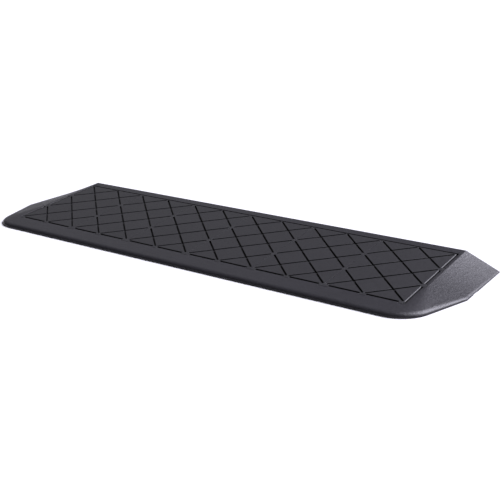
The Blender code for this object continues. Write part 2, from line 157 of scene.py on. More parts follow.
def edge_height(y):
    """Height of the outer edge: the full lip in front, thinning to the tip of the wing."""
    if y < KINK_Y:
        share = (y - FRONT_Y) / (KINK_Y - FRONT_Y)
        return LIP_HEIGHT + (KINK_EDGE_HEIGHT - LIP_HEIGHT) * share
    share = (y - KINK_Y) / (BACK_Y - KINK_Y)
    return KINK_EDGE_HEIGHT + (TIP_EDGE_HEIGHT - KINK_EDGE_HEIGHT) * share


def nose_height(y):
    """Height of the rounding at the top of the outer edge."""
    return NOSE_SHARE * (edge_height(y) - GROUND_GAP)


def round_off(inside, height, run):
    """How far a rounded edge lies below its sharp one, at a distance inside the edge."""
    if inside >= run:
        return 0.0
    return height * (1 - math.sqrt(1 - (1 - inside / run) ** 2))


def wing_drop(x, y, slope_height):
    """How far the wing lies below the slope: straight rulings with a bend at the ridge."""
    run = side_edge(y) - RIDGE_X
    out = abs(x) - RIDGE_X
    if out <= 0 or run <= 0.0005:
        return 0.0
    fade = min(1.0, max(0.0, (y - TREAD_Y + 0.2 * DIAMOND) / (1.3 * DIAMOND)))
    fade = fade * fade * (3 - 2 * fade)
    bend = min(0.45 * run, SOFT_CREASE + (CRISP_CREASE - SOFT_CREASE) * fade)
    steepness = (slope_height - edge_height(y)) / (run - bend)
    if out < 2 * bend:
        return steepness * out**2 / (4 * bend)
    return steepness * (out - bend)


def top_height(x, y):
    height = LIP_HEIGHT + (y - FRONT_Y) * math.tan(SLOPE)
    height -= wing_drop(x, y, height)
    height -= round_off(edge_distance(x, y), nose_height(y), NOSE_RUN * nose_height(y))
    arris = min(BACK_ARRIS, (height - GROUND_GAP) / 2)
    height -= round_off(BACK_Y - y, arris, arris)
    return height


NOSE_STEPS = (0.0, 0.014, 0.055, 0.13, 0.24, 0.39, 0.58, 0.8, 1.0)   # in shares of the nose's run
PROFILE_STEPS = 28


def section_points(x):
    """One cross section of the base at x, from the back of its underside, round the lip, to the top."""
    start = front_edge(x)
    run_in = NOSE_RUN * nose_height(start) / math.cos(edge_turn(x))
    rows = [start + run_in * step for step in NOSE_STEPS]
    run = BACK_Y - BACK_ARRIS - rows[-1]
    rows += [rows[-1] + run * step / PROFILE_STEPS for step in range(1, PROFILE_STEPS + 1)]
    rows += [BACK_Y - BACK_ARRIS * step for step in (0.5, 0.13, 0.0)]
    bottom = [Vector((x, BACK_Y, GROUND_GAP)), Vector((x, start, GROUND_GAP))]
    return bottom + [Vector((x, y, top_height(x, y))) for y in rows]


def section_places():
    """X of the cross sections, close together where the outline or the top bends."""
    turns = 16
    right = [ARC_START_X + CORNER_RADIUS * math.sin(CORNER_TURN * k / turns) for k in range(1, turns + 1)]
    bends = 8
    right += [RIDGE_X + 2 * CRISP_CREASE * k / bends for k in range(bends + 1)]
    reach = HALF_LENGTH - ARC_END_X
    run_in = NOSE_RUN * nose_height(KINK_Y)
    slant_steps = 18
    right += [ARC_END_X + (reach - run_in) * k / slant_steps for k in range(1, slant_steps + 1)]
    right += [HALF_LENGTH - run_in * step for step in NOSE_STEPS[:-1]]
    right = [0.0, ARC_START_X] + sorted(set(round(x, 6) for x in right))
    return [-x for x in reversed(right[1:])] + right


def merge_flats(bm, inside):
    """Joins the flat faces wherever all their corners pass the test."""
    verts = [v for v in bm.verts if inside(v.co)]
    chosen = set(verts)
    edges = [e for e in bm.edges if all(v in chosen for v in e.verts)]
    bmesh.ops.dissolve_limit(bm, angle_limit=0.0008, verts=verts, edges=edges)


def loft_base():
    """The base before anything is cut from it, lofted through its cross sections."""
    bm = bmesh.new()
    rings = [[bm.verts.new(point) for point in section_points(x)] for x in section_places()]
    for near, far in zip(rings, rings[1:]):
        for here in range(len(near)):
            after = (here + 1) % len(near)
            bm.faces.new((near[here], far[here], far[after], near[after]))
    bm.faces.new(rings[0])
    bm.faces.new(list(reversed(rings[-1])))
    merge_flats(bm, lambda co: abs(co.x) <= RIDGE_X + 1e-5)
    merge_flats(bm, lambda co: co.z <= GROUND_GAP + 1e-6)
    # With large flats left whole, the Booleans make outlines that cross themselves
    bmesh.ops.triangulate(bm, faces=bm.faces[:])
    return bm


def new_object(name, bm, place=None):
    if place:
        bmesh.ops.transform(bm, matrix=place, verts=bm.verts)
    mesh = bpy.data.meshes.new(name)
    bm.to_mesh(mesh)
    bm.free()
    piece = bpy.data.objects.new(name, mesh)
    bpy.context.scene.collection.objects.link(piece)
    return piece


def grown(outline, by):
    """A counter-clockwise outline moved outwards by a distance, with mitred corners."""
    moved = []
    for index, here in enumerate(outline):
        before = (here - outline[index - 1]).normalized()
        after = (outline[(index + 1) % len(outline)] - here).normalized()
        out_before = Vector((before.y, -before.x))
        out_after = Vector((after.y, -after.x))
        moved.append(here + (out_before + out_after) * (by / (1 + out_before.dot(out_after))))
    return moved


def filleted(outline, radius, steps=3):
    """The outline with every corner rounded."""
    rounded = []
    for index, corner in enumerate(outline):
        before = outline[index - 1]
        after = outline[(index + 1) % len(outline)]
        reach = min(radius, (before - corner).length * 0.45, (after - corner).length * 0.45)
        start = corner + (before - corner).normalized() * reach
        end = corner + (after - corner).normalized() * reach
        for step in range(steps + 1):
            t = step / steps
            rounded.append(start * (1 - t) ** 2 + corner * (2 * t * (1 - t)) + end * t**2)
    return rounded


def stacked(bm, outline, levels):
    """A closed solid through the outline at several levels of (growth, height), lowest first."""
    rings = []
    for growth, height in levels:
        rings.append([bm.verts.new((p.x, p.y, height)) for p in grown(outline, growth)])
    for low, high in zip(rings, rings[1:]):
        for here in range(len(outline)):
            after = (here + 1) % len(outline)
            bm.faces.new((low[here], low[after], high[after], high[here]))
    bm.faces.new(list(reversed(rings[0])))
    bm.faces.new(rings[-1])


def flared(floor, mouth, arris):
    """Levels of a recess that opens upwards at the mouth, with a rounded arris round it."""
    levels = [(0.0, floor), (0.0, mouth - arris)]
    levels += [(0.134 * arris, mouth - 0.5 * arris), (0.5 * arris, mouth - 0.134 * arris)]
    return levels + [(1.25 * arris, mouth + 0.067 * arris), (1.25 * arris, mouth + 0.002)]


def flared_down(ceiling, mouth, arris):
    """The same for a recess that opens downwards."""
    levels = [(1.25 * arris, mouth - 0.002), (1.25 * arris, mouth - 0.067 * arris)]
    levels += [(0.5 * arris, mouth + 0.134 * arris), (0.134 * arris, mouth + 0.5 * arris)]
    return levels + [(0.0, mouth + arris), (0.0, ceiling)]


def rectangle(length, width, x=0.0, y=0.0):
    signs = ((-1, -1), (1, -1), (1, 1), (-1, 1))
    return [Vector((x + a * length / 2, y + b * width / 2)) for a, b in signs]


def circle(radius, x=0.0, y=0.0, sides=40):
    turns = [2 * math.pi * k / sides for k in range(sides)]
    return [Vector((x + radius * math.cos(turn), y + radius * math.sin(turn))) for turn in turns]


def teeth(spans, wall, tip):
    """Corners of a straight edge at wall with teeth out to tip, for each span along it."""
    corners = []
    for start, end in spans:
        corners += [(start, wall), (start, tip), (end, tip), (end, wall)]
    return corners


def side_spans(grow=0.0):
    half = LUG_WIDTH / 2 + grow
    return [(row * DIAMOND - half, row * DIAMOND + half) for row in range(1, TILE_ROWS)]


def tray_outline():
    """The tray in plan: the tread with the border groove round it, and a keyway for each lug."""
    side = TREAD_WIDTH / 2 + BORDER_GROOVE
    deep = BORDER_GROOVE + LUG_REACH + FIT_GAP
    spans = []
    for tile in range(TILE_COUNT + 1):
        seam = tile * TILE_WIDTH - TREAD_WIDTH / 2
        end_lug = SEAM_GAP / 2 + END_LUG_WIDTH + FIT_GAP
        from_left = FIT_GAP if tile == 0 else end_lug
        to_right = FIT_GAP if tile == TILE_COUNT else end_lug
        spans.append((seam - from_left, seam + to_right))
        if tile < TILE_COUNT:
            middle = seam + TILE_WIDTH / 2
            half = LUG_WIDTH / 2 + FIT_GAP
            spans.append((middle - half, middle + half))
    outline = [(-side, -BORDER_GROOVE)]
    outline += teeth(spans, -BORDER_GROOVE, -deep)
    outline += [(side, -BORDER_GROOVE)]
    tip = side + LUG_REACH + FIT_GAP
    outline += [(x, y) for y, x in teeth(side_spans(FIT_GAP), side, tip)]
    outline += [(side, TREAD_DEPTH + BORDER_GROOVE), (-side, TREAD_DEPTH + BORDER_GROOVE)]
    outline += [(x, y) for y, x in reversed(teeth(side_spans(FIT_GAP), -side, -tip))]
    return [Vector(corner) for corner in outline]


def screw_seats():
    """Middle of every screw in the tread's frame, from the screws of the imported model."""
    seats = []
    to_tread = TREAD_FRAME.inverted()
    for number in range(1, 2 * TILE_COUNT + 1):
        low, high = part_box(f"tile_screw_{number}")
        middle = to_tread @ ((low + high) / 2)
        seats.append(Vector((round(middle.x, 4), round(middle.y / DIAMOND, 1) * DIAMOND)))
    return seats


PAD_NAMES = [f"grip_pad_{row}_{number}" for row in ("front", "back") for number in range(1, 6)]
PAD_RECESS = 0.0015
POCKET_RADIUS = 0.0110
CHANNEL_Y = 0.0275
CHANNEL_WIDTH = 0.022
CHANNEL_HEIGHT = 0.0070
MOUTH_HEIGHT = 0.0013
UNDER_ARRIS = 0.0008
TRAY_CORNER = 0.0008
TRAY_ARRIS = 0.0006
# Length, width, middle Y and height of the relief pockets in the front and the back row
RELIEFS = ((0.100, 0.050, -0.028, 0.0040), (0.100, 0.032, 0.063, 0.0105))


def tray_cutter():
    bm = bmesh.new()
    stacked(bm, filleted(tray_outline(), TRAY_CORNER), flared(SEAT_Z, 0.0, TRAY_ARRIS))
    return new_object("tray_cutter", bm, TREAD_FRAME)


def boss_hole_cutter():
    """Holes in the tray floor for the bosses of the tiles."""
    bm = bmesh.new()
    for seat in screw_seats():
        ring = circle(BOSS_RADIUS + FIT_GAP, seat.x, seat.y)
        stacked(bm, ring, [(0, FLOOR_BOTTOM_Z - TRAY_FLOOR), (0, SEAT_Z + 0.001)])
    return new_object("boss_hole_cutter", bm, TREAD_FRAME)


def pocket_cutter():
    """Round pockets that let the washers and screw heads in from below."""
    bm = bmesh.new()
    for seat in screw_seats():
        ring = circle(POCKET_RADIUS, seat.x, seat.y, 48)
        stacked(bm, ring, [(0, FLOOR_BOTTOM_Z - BACK_HEIGHT), (0, FLOOR_BOTTOM_Z)])
    return new_object("pocket_cutter", bm, TREAD_FRAME)


def underside_cutter():
    """The cable channel, two rows of relief pockets and the recesses for the pads."""
    bm = bmesh.new()
    channel = filleted(rectangle(2 * RIDGE_X, CHANNEL_WIDTH, 0, CHANNEL_Y), 0.003)
    stacked(bm, channel, flared_down(CHANNEL_HEIGHT, GROUND_GAP, UNDER_ARRIS))
    for length, width, middle_y, height in RELIEFS:
        for tile in range(TILE_COUNT):
            middle = (tile + 0.5) * TILE_WIDTH - TREAD_WIDTH / 2
            pocket = filleted(rectangle(length, width, middle, middle_y), 0.006, 5)
            stacked(bm, pocket, flared_down(height, GROUND_GAP, UNDER_ARRIS))
    for name in PAD_NAMES:
        low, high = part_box(name)
        middle = (low + high) / 2
        recess = rectangle(high.x - low.x + 2 * FIT_GAP, high.y - low.y + 2 * FIT_GAP, middle.x, middle.y)
        stacked(bm, filleted(recess, 0.002), flared_down(GROUND_GAP + PAD_RECESS, GROUND_GAP, 0.0003))
    return new_object("underside_cutter", bm)


def mouth_cutter():
    """The low ends of the channel, out through the thin edges of the wings."""
    bm = bmesh.new()
    start = RIDGE_X - CHANNEL_HEIGHT
    run = HALF_LENGTH + CHANNEL_HEIGHT - start
    for side in (-1, 1):
        mouth = rectangle(run, 0.96 * CHANNEL_WIDTH, side * (start + run / 2), CHANNEL_Y)
        stacked(bm, mouth, flared_down(GROUND_GAP + MOUTH_HEIGHT, GROUND_GAP, 0.0004))
    return new_object("mouth_cutter", bm)


def cut(piece, cutter, operation="DIFFERENCE"):
    modifier = piece.modifiers.new(cutter.name, "BOOLEAN")
    modifier.operation = operation
    modifier.solver = "MANIFOLD"
    modifier.object = cutter


def settle(piece, cutters, sharp=32.0):
    """Applies a piece's modifiers, removes its cutters and shades it with its flats kept flat."""
    mesh = bpy.data.meshes.new_from_object(piece.evaluated_get(bpy.context.evaluated_depsgraph_get()))
    piece.modifiers.clear()
    piece.data = mesh
    for cutter in cutters:
        bpy.data.objects.remove(cutter, do_unlink=True)
    mesh.shade_smooth()
    mesh.set_sharp_from_angle(angle=math.radians(sharp))
    weighted = piece.modifiers.new("weighted", "WEIGHTED_NORMAL")
    weighted.keep_sharp = True
    weighted.weight = 100
    piece.data = bpy.data.meshes.new_from_object(
        piece.evaluated_get(bpy.context.evaluated_depsgraph_get()))
    piece.modifiers.clear()
    piece.data.name = piece.name


def new_skin(name, tones, amounts):
    """A node group for a surface: inputs for its tones and amounts, and tools to build its insides."""
    group = bpy.data.node_groups.new(name, "ShaderNodeTree")
    for tone in tones:
        group.interface.new_socket(tone, in_out="INPUT", socket_type="NodeSocketColor")
    for amount in amounts:
        group.interface.new_socket(amount, in_out="INPUT", socket_type="NodeSocketFloat")
    group.interface.new_socket("Color", in_out="OUTPUT", socket_type="NodeSocketColor")
    group.interface.new_socket("Roughness", in_out="OUTPUT", socket_type="NodeSocketFloat")
    group.interface.new_socket("Height", in_out="OUTPUT", socket_type="NodeSocketFloat")
    nodes, links = group.nodes, group.links
    given = nodes.new("NodeGroupInput")
    made = nodes.new("NodeGroupOutput")
    where = nodes.new("ShaderNodeTexCoord")

    def maths(operation, first, second, clamp=False):
        node = nodes.new("ShaderNodeMath")
        node.operation = operation
        node.use_clamp = clamp
        for socket, value in zip(node.inputs, (first, second)):
            if isinstance(value, (int, float)):
                socket.default_value = value
            else:
                links.new(value, socket)
        return node.outputs[0]

    def noise(scale, detail, roughness):
        node = nodes.new("ShaderNodeTexNoise")
        links.new(where.outputs["Object"], node.inputs["Vector"])
        if isinstance(scale, (int, float)):
            node.inputs["Scale"].default_value = scale
        else:
            links.new(scale, node.inputs["Scale"])
        node.inputs["Detail"].default_value = detail
        node.inputs["Roughness"].default_value = roughness
        return node.outputs["Fac"]

    def blend(share, first, second):
        node = nodes.new("ShaderNodeMix")
        node.data_type = "RGBA"
        links.new(share, node.inputs["Factor"])
        links.new(first, node.inputs["A"])
        links.new(second, node.inputs["B"])
        return node.outputs["Result"]

    def arrises(radius, gain):
        """Where the surface turns away from its rounded-over neighbourhood."""
        rounded = nodes.new("ShaderNodeBevel")
        rounded.samples = 6
        links.new(radius, rounded.inputs["Radius"])
        surface = nodes.new("ShaderNodeNewGeometry")
        dot = nodes.new("ShaderNodeVectorMath")
        dot.operation = "DOT_PRODUCT"
        links.new(rounded.outputs["Normal"], dot.inputs[0])
        links.new(surface.outputs["Normal"], dot.inputs[1])
        return maths("MULTIPLY", maths("SUBTRACT", 1.0, dot.outputs["Value"]), gain)

    return group, given, made, where, maths, noise, blend, arrises


def rubber_skin():
    """Surface of moulded rubber: fine moulded grain, soft mottling, arrises paler and smoother from rubbed
    wear and a painted highlight, recesses darkened with painted shade.
    """
    group, given, made, where, maths, noise, blend, arrises = new_skin(
        "rubber_skin", ("Tone", "Pale Tone", "Painted Shade Tone"),
        ("Mottle", "Grain Scale", "Grain Depth", "Rub And Highlight", "Arris", "Roughness"),
    )
    nodes, links = group.nodes, group.links
    grain = noise(given.outputs["Grain Scale"], 3.0, 0.6)
    pits = nodes.new("ShaderNodeTexVoronoi")
    links.new(where.outputs["Object"], pits.inputs["Vector"])
    links.new(maths("MULTIPLY", given.outputs["Grain Scale"], 0.7), pits.inputs["Scale"])
    flow = noise(14.0, 4.0, 0.55)
    cloud = noise(120.0, 3.0, 0.6)

    # Arrises are painted paler and made smoother: partly rubbed wear, partly a painted highlight along the
    # rounded edges
    wear_and_highlight = maths("MULTIPLY", arrises(given.outputs["Arris"], 6.0), maths("ADD", cloud, 0.35), clamp=True)
    rub_and_highlight = maths("MULTIPLY", wear_and_highlight, given.outputs["Rub And Highlight"], clamp=True)

    # Painted shade: an occlusion mask darkens grooves, recesses and edges near the floor towards the
    # painted shade tone, over any arris paling, and makes them rougher
    open_sky = nodes.new("ShaderNodeAmbientOcclusion")
    open_sky.samples = 8
    open_sky.inputs["Distance"].default_value = 0.005
    sheltered = maths("SUBTRACT", 1.0, open_sky.outputs["AO"])
    deep = maths("MULTIPLY", maths("SUBTRACT", sheltered, 0.12), 3.0, clamp=True)

    dimples = maths("MULTIPLY", pits.outputs["Distance"], 0.35)
    speckle = maths("SUBTRACT", maths("MULTIPLY", grain, 0.6), dimples)
    uneven = maths("ADD", maths("MULTIPLY", flow, 0.55), maths("MULTIPLY", cloud, 0.30))
    both = maths("ADD", speckle, uneven)
    shade = maths("MULTIPLY", maths("SUBTRACT", both, 0.52), given.outputs["Mottle"])
    pale = maths("ADD", rub_and_highlight, maths("ADD", shade, 0.35), clamp=True)
    open_colour = blend(pale, given.outputs["Tone"], given.outputs["Pale Tone"])
    links.new(blend(deep, open_colour, given.outputs["Painted Shade Tone"]), made.inputs["Color"])

    rough = maths("ADD", given.outputs["Roughness"], maths("MULTIPLY", maths("SUBTRACT", cloud, 0.5), 0.12))
    rough = maths("SUBTRACT", rough, maths("MULTIPLY", rub_and_highlight, 0.15))
    rough = maths("ADD", rough, maths("MULTIPLY", deep, 0.35), clamp=True)
    links.new(rough, made.inputs["Roughness"])
    ripple = maths("MULTIPLY", noise(170.0, 4.0, 0.6), 2.0)
    bumps = maths("SUBTRACT", maths("ADD", grain, ripple), maths("MULTIPLY", pits.outputs["Distance"], 0.5))
    links.new(maths("MULTIPLY", bumps, given.outputs["Grain Depth"]), made.inputs["Height"])
    return group


RUBBER_SKIN = rubber_skin()


def skinned(name, skin_group, settings, metallic=0.0):
    """A material that takes its colour, roughness and fine relief from a skin group."""
    material = bpy.data.materials.new(name)
    material.use_nodes = True
    nodes, links = material.node_tree.nodes, material.node_tree.links
    shader = nodes["Principled BSDF"]
    shader.inputs["Metallic"].default_value = metallic
    shader.inputs["IOR"].default_value = 1.5
    skin = nodes.new("ShaderNodeGroup")
    skin.node_tree = skin_group
    for socket, value in settings.items():
        skin.inputs[socket].default_value = (*value, 1) if isinstance(value, tuple) else value
    links.new(skin.outputs["Color"], shader.inputs["Base Color"])
    links.new(skin.outputs["Roughness"], shader.inputs["Roughness"])
    bump = nodes.new("ShaderNodeBump")
    bump.inputs["Strength"].default_value = 1.0
    bump.inputs["Distance"].default_value = 1.0
    links.new(skin.outputs["Height"], bump.inputs["Height"])
    links.new(bump.outputs["Normal"], shader.inputs["Normal"])
    return material


# The darkest tone below is painted shade for grooves, recesses and edges near the floor
BASE_RUBBER = skinned("charcoal_base_rubber", RUBBER_SKIN, {
    "Tone": (0.016, 0.0154, 0.0190), "Pale Tone": (0.032, 0.0305, 0.038),
    "Painted Shade Tone": (0.0020, 0.0019, 0.0023), "Mottle": 1.1, "Grain Scale": 850.0,
    "Grain Depth": 0.00024, "Rub And Highlight": 0.8, "Arris": 0.0012, "Roughness": 0.44,
})
base = new_object("base_moulding", loft_base())
base_cutters = [tray_cutter(), boss_hole_cutter(), pocket_cutter(), underside_cutter(), mouth_cutter()]
for cutter in base_cutters:
    cut(base, cutter)
settle(base, base_cutters)
base.data.materials.clear()
base.data.materials.append(BASE_RUBBER)
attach(base, "root")
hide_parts("ramp_base")

# ---- Tread tiles ------------------------------------------------------------------------------------
# Six moulded tiles of softer rubber lie side by side in the tray. Grooves cross them in diamonds and
# stop short of every edge; lugs at the points of the diamonds bridge the border groove and key the tiles.

GROOVE_WIDTH = 0.0036
GROOVE_DEPTH = 0.0030
GROOVE_STOP_SEAM = 0.005
GROOVE_STOP_FRONT = 0.0030
GROOVE_ARRIS = 0.0004
TILE_ARRIS = 0.00012
TILE_CORNER = 0.0006
END_BEVEL_WIDTH = 0.0011
END_BEVEL_DEPTH = 0.0010
BOSS_OVERLAP = 0.0005       # how far a boss reaches up into its tile
INSERT_RADIUS = 0.0034
INSERT_LENGTH = 0.0050

# The darkest tone below is painted shade for grooves, recesses and edges near the floor
TREAD_RUBBER = skinned("soft_tread_rubber", RUBBER_SKIN, {
    "Tone": (0.0135, 0.0130, 0.0156), "Pale Tone": (0.025, 0.0242, 0.0286),
    "Painted Shade Tone": (0.0030, 0.0029, 0.0034), "Mottle": 0.9, "Grain Scale": 1000.0,
    "Grain Depth": 0.00016, "Rub And Highlight": 0.10, "Arris": 0.0008, "Roughness": 0.50,
})


def tile_outline(tile):
    """A tile in plan: lugs along its front edge, and along its side where it ends the tread."""
    left = tile * TILE_WIDTH - TREAD_WIDTH / 2 + SEAM_GAP / 2
    right = left + TILE_WIDTH - SEAM_GAP
    middle = (left + right) / 2
    reach = BORDER_GROOVE + LUG_REACH
    outline = [(left, -reach), (left + END_LUG_WIDTH, -reach), (left + END_LUG_WIDTH, FRONT_INSET)]
    outline += teeth([(middle - LUG_WIDTH / 2, middle + LUG_WIDTH / 2)], FRONT_INSET, -reach)
    outline += [(right - END_LUG_WIDTH, FRONT_INSET), (right - END_LUG_WIDTH, -reach), (right, -reach)]
    if tile == TILE_COUNT - 1:
        outline += [(x, y) for y, x in teeth(side_spans(), right, right + reach)]
    outline += [(right, TREAD_DEPTH), (left, TREAD_DEPTH)]
    if tile == 0:
        outline += [(x, y) for y, x in reversed(teeth(side_spans(), left, left - reach))]
    return [Vector(corner) for corner in outline]


def groove_ends():
    """Both ends of each groove of a tile, from the tile's front left corner: straight lines at 45 degrees
    through the points of the diamonds, stopped short of the edges."""
    left = GROOVE_STOP_SEAM
    right = TILE_WIDTH - GROOVE_STOP_SEAM
    front = GROOVE_STOP_FRONT
    back = TREAD_DEPTH - GROOVE_STOP_FRONT
    ends = []
    for step in range(1, TILE_COLUMNS + TILE_ROWS):
        total = step * DIAMOND
        low = max(front, total - right)
        high = min(back, total - left)
        ends.append((Vector((total - low, low)), Vector((total - high, high))))
    for step in range(1 - TILE_ROWS, TILE_COLUMNS):
        offset = step * DIAMOND
        low = max(front, left - offset)
        high = min(back, right - offset)
        ends.append((Vector((offset + low, low)), Vector((offset + high, high))))
    return ends


def groove_outline(start, end):
    """A slot between two points with round ends."""
    run = (end - start).normalized()
    heading = math.atan2(run.y, run.x)
    radius = GROOVE_WIDTH / 2
    outline = []
    for centre, first in ((end, heading - math.pi / 2), (start, heading + math.pi / 2)):
        for step in range(7):
            turn = first + math.pi * step / 6
            outline.append(centre + Vector((math.cos(turn), math.sin(turn))) * radius)
    return outline


def groove_cutter(name, ends, left):
    """Grooves that run one way across a tile, with a rounded floor."""
    bm = bmesh.new()
    corner = Vector((left, 0))
    half = GROOVE_WIDTH / 2
    levels = [(-0.45 * half, -GROOVE_DEPTH), (-0.2 * half, 0.12e-3 - GROOVE_DEPTH)]
    levels += flared(0.4e-3 - GROOVE_DEPTH, 0.0, GROOVE_ARRIS)
    for start, end in ends:
        stacked(bm, groove_outline(start + corner, end + corner), levels)
    return new_object(name, bm)


def bevel_cutter(side):
    """Prisms that bevel one end of the tread between its lugs; side is -1 or 1."""
    edge = TREAD_WIDTH / 2 - SEAM_GAP / 2
    over = 0.3      # how far the prisms stand past the bevel, in shares of it
    profile = [
        (edge - (1 + over) * END_BEVEL_WIDTH, over * END_BEVEL_DEPTH),
        (edge + over * END_BEVEL_WIDTH, -(1 + over) * END_BEVEL_DEPTH),
        (edge + over * END_BEVEL_WIDTH, over * END_BEVEL_DEPTH),
    ]
    lug_ends = [end for span in side_spans(-FIT_GAP) for end in span]
    stops = [2 * FRONT_INSET] + lug_ends + [TREAD_DEPTH + FIT_GAP]
    bm = bmesh.new()
    for start, end in zip(stops[::2], stops[1::2]):
        near = [bm.verts.new((side * x, start, z)) for x, z in profile]
        far = [bm.verts.new((side * x, end, z)) for x, z in profile]
        bm.faces.new(near)
        bm.faces.new(list(reversed(far)))
        for here in range(3):
            after = (here + 1) % 3
            bm.faces.new((near[after], near[here], far[here], far[after]))
    bmesh.ops.recalc_face_normals(bm, faces=bm.faces)
    return new_object("bevel", bm)


def make_tile(tile):
    """One tile with its bosses, insert bores and grooves, and a bevel where it ends the tread."""
    left = tile * TILE_WIDTH - TREAD_WIDTH / 2
    arris = TILE_ARRIS
    bm = bmesh.new()
    levels = [(-arris, -TILE_THICKNESS), (0.0, arris - TILE_THICKNESS), (0.0, -arris)]
    levels += [(-0.134 * arris, -0.5 * arris), (-0.5 * arris, -0.134 * arris), (-arris, 0.0)]
    stacked(bm, filleted(tile_outline(tile), TILE_CORNER), levels)
    piece = new_object(f"grooved_tile_{tile + 1}", bm)
    seats = screw_seats()[2 * tile:2 * tile + 2]
    bosses = bmesh.new()
    holes = bmesh.new()
    for seat in seats:
        boss_span = [(0, FLOOR_BOTTOM_Z), (0, BOSS_OVERLAP - TILE_THICKNESS)]
        stacked(bosses, circle(BOSS_RADIUS, seat.x, seat.y), boss_span)
        hole_span = [(0, FLOOR_BOTTOM_Z - 0.001), (0, FLOOR_BOTTOM_Z + INSERT_LENGTH + 2 * FIT_GAP)]
        stacked(holes, circle(INSERT_RADIUS + FIT_GAP, seat.x, seat.y), hole_span)
    cutters = [new_object("bosses", bosses), new_object("holes", holes)]
    cut(piece, cutters[0], "UNION")
    cut(piece, cutters[1])
    ends = groove_ends()
    half = len(ends) // 2
    for label, group in (("left", ends[:half]), ("right", ends[half:])):
        cutters.append(groove_cutter(f"grooves_{label}", group, left))
        cut(piece, cutters[-1])
    if tile in (0, TILE_COUNT - 1):
        cutters.append(bevel_cutter(1 if tile else -1))
        cut(piece, cutters[-1])
    settle(piece, cutters)
    piece.data.transform(TREAD_FRAME)
    piece.data.materials.clear()
    piece.data.materials.append(TREAD_RUBBER)
    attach(piece, "root")
    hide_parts(f"tread_tile_{tile + 1}")


for tile in range(TILE_COUNT):
    make_tile(tile)

# ---- Threaded inserts -------------------------------------------------------------------------------
# Two brass inserts stand in the bosses under each tile. They are turned and knurled on a lathe, and the
# tile is moulded round them, so that the knurls grip the rubber.

INSERT_BORE = 0.0023
INSERT_CHAMFER = 0.0003
KNURLS = 22


def new_tree(name, sizes):
    """A geometry tree with named inputs for a piece's sizes and its material."""
    tree = bpy.data.node_groups.new(name, "GeometryNodeTree")
    for size in sizes:
        tree.interface.new_socket(size, in_out="INPUT", socket_type="NodeSocketFloat")
    tree.interface.new_socket("Material", in_out="INPUT", socket_type="NodeSocketMaterial")
    tree.interface.new_socket("Geometry", in_out="OUTPUT", socket_type="NodeSocketGeometry")
    return tree, tree.nodes.new("NodeGroupInput").outputs


def join(tree, value, socket):
    """Links a socket to a socket, or sets its value."""
    if isinstance(value, bpy.types.NodeSocket):
        tree.links.new(value, socket)
    else:
        socket.default_value = value


def step_node(tree, kind, settings, **modes):
    """A node of this kind with its inputs set by name or number."""
    node = tree.nodes.new(kind)
    for mode, value in modes.items():
        setattr(node, mode, value)
    for socket, value in settings.items():
        join(tree, value, node.inputs[socket])
    return node


def sum_of(tree, *parts):
    """The sum of some sizes, each a socket or a number, or a pair of one and its factor."""
    total = 0.0
    for part in parts:
        value, factor = part if isinstance(part, tuple) else (part, 1.0)
        node = step_node(tree, "ShaderNodeMath", {0: value, 1: factor, 2: total}, operation="MULTIPLY_ADD")
        total = node.outputs[0]
    return total


def pick(tree, values):
    """A number for each point along a path, in order."""
    node = tree.nodes.new("GeometryNodeIndexSwitch")
    node.data_type = "FLOAT"
    for _ in values[2:]:
        node.index_switch_items.new()
    tree.links.new(tree.nodes.new("GeometryNodeInputIndex").outputs[0], node.inputs["Index"])
    for number, value in enumerate(values):
        join(tree, value, node.inputs[number + 1])
    return node.outputs[0]


def lathe(tree, stations, profile):
    """A solid turned about Z through stations of (height, radius), from a profile of radius one."""
    line = step_node(tree, "GeometryNodeCurvePrimitiveLine", {"End": (0.0, 0.0, 1.0)})
    path = step_node(tree, "GeometryNodeResampleCurve", {"Curve": line.outputs[0], "Count": len(stations)})
    place = step_node(tree, "ShaderNodeCombineXYZ", {"Z": pick(tree, [height for height, _ in stations])})
    path = step_node(
        tree, "GeometryNodeSetPosition", {"Geometry": path.outputs[0], "Position": place.outputs[0]})
    radii = pick(tree, [radius for _, radius in stations])
    return step_node(tree, "GeometryNodeCurveToMesh", {
        "Curve": path.outputs[0], "Profile Curve": profile, "Scale": radii, "Fill Caps": True,
    }).outputs[0]


def ring(tree, sides):
    settings = {"Resolution": sides, "Radius": 1.0}
    return step_node(tree, "GeometryNodeCurvePrimitiveCircle", settings).outputs["Curve"]


def bored(tree, solid, tool):
    node = step_node(tree, "GeometryNodeMeshBoolean", {}, operation="DIFFERENCE", solver="MANIFOLD")
    tree.links.new(solid, node.inputs["Mesh 1"])
    tree.links.new(tool, node.inputs["Mesh 2"])
    return node.outputs["Mesh"]


def finish_tree(tree, given, solid, smooth_below=0.6):
    """Smooth sides, crisp corners, the material, and plain geometry at the end."""
    smooth = step_node(tree, "GeometryNodeSetShadeSmooth", {0: solid, "Shade Smooth": True})
    angle = tree.nodes.new("GeometryNodeInputMeshEdgeAngle")
    gentle = step_node(tree, "FunctionNodeCompare", {0: angle.outputs["Unsigned Angle"], 1: smooth_below})
    gentle.operation = "LESS_THAN"
    edges = step_node(tree, "GeometryNodeSetShadeSmooth", {
        0: smooth.outputs[0], "Shade Smooth": gentle.outputs[0]}, domain="EDGE")
    real = step_node(tree, "GeometryNodeRealizeInstances", {0: edges.outputs[0]})
    painted = step_node(
        tree, "GeometryNodeSetMaterial", {"Geometry": real.outputs[0], "Material": given["Material"]})
    out = tree.nodes.new("NodeGroupOutput")
    tree.links.new(painted.outputs[0], out.inputs["Geometry"])
    return tree


